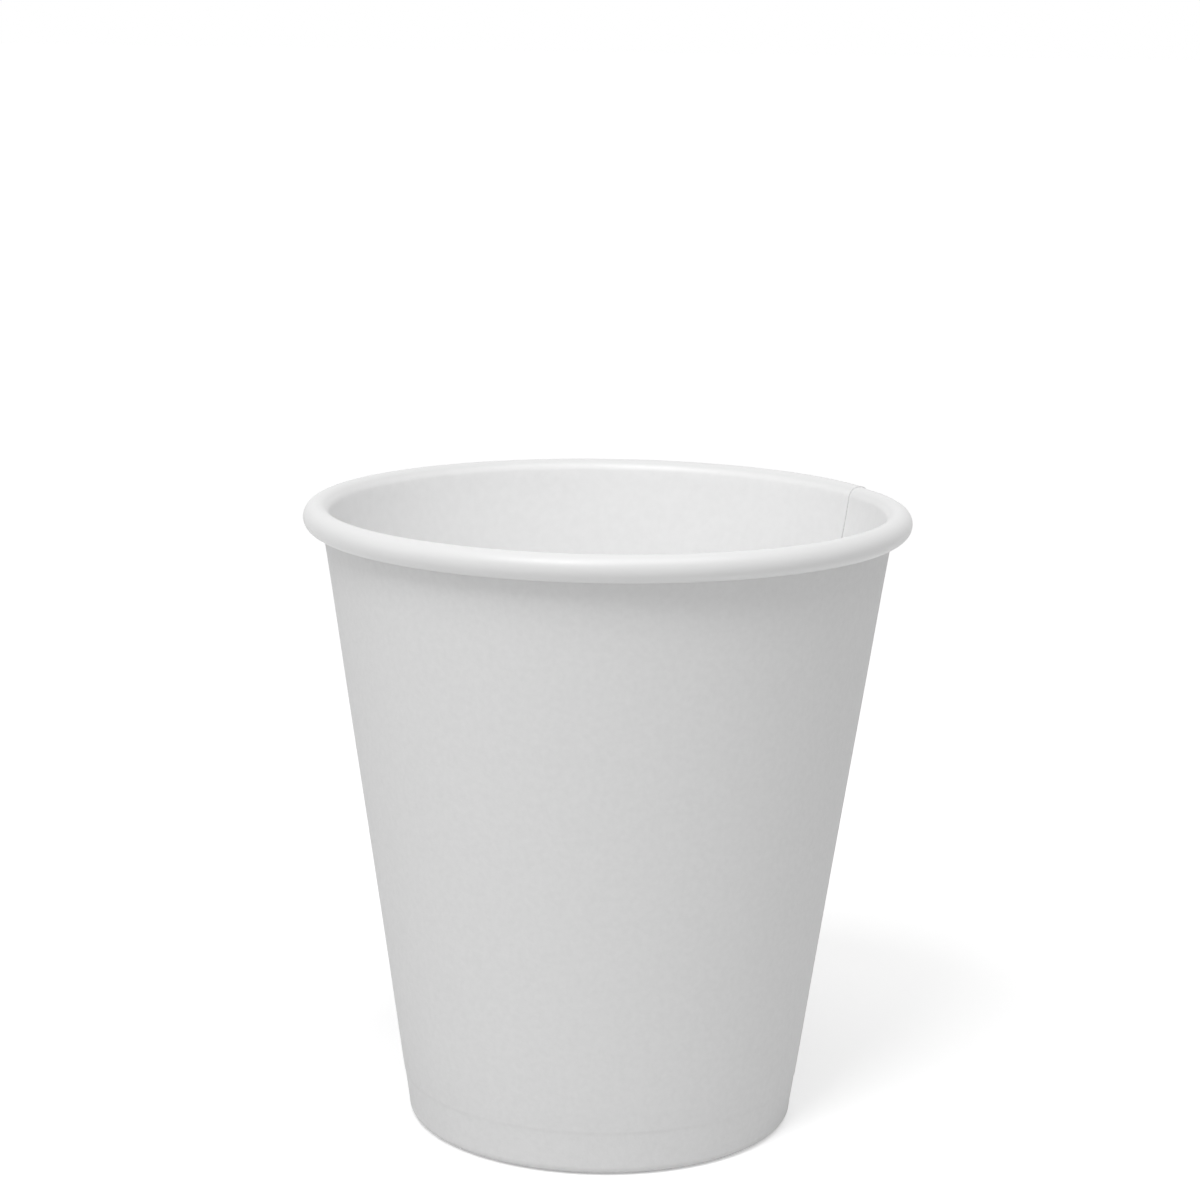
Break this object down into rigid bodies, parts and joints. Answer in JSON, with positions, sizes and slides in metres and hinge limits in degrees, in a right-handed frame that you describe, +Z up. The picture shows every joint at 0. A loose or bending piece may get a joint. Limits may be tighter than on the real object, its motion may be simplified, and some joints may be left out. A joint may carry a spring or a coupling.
{
  "type": "insulated paper hot cup",
  "caption": "Tapered cup of thick insulated paper board for hot drinks, with a rolled lip, an overlapped side seam and a recessed floor gripped by a folded foot.",
  "frame": {"origin": "on the cup's axis, at the height of the surface that it stands on", "axes": "+Z up the cup's axis, out of the mouth; the side seam lies 20 degrees round from +X towards +Y"},
  "size_m": [0.09, 0.09, 0.094],
  "materials": {
    "wall_board": "matte white insulated board, smooth and slightly glossy at the rolled lip",
    "floor_board": "white coated board, satin"
  },
  "bodies": {
    "root": {"sidewall": "wall_board", "bottom_disc": "floor_board"}
  },
  "joints": []
}
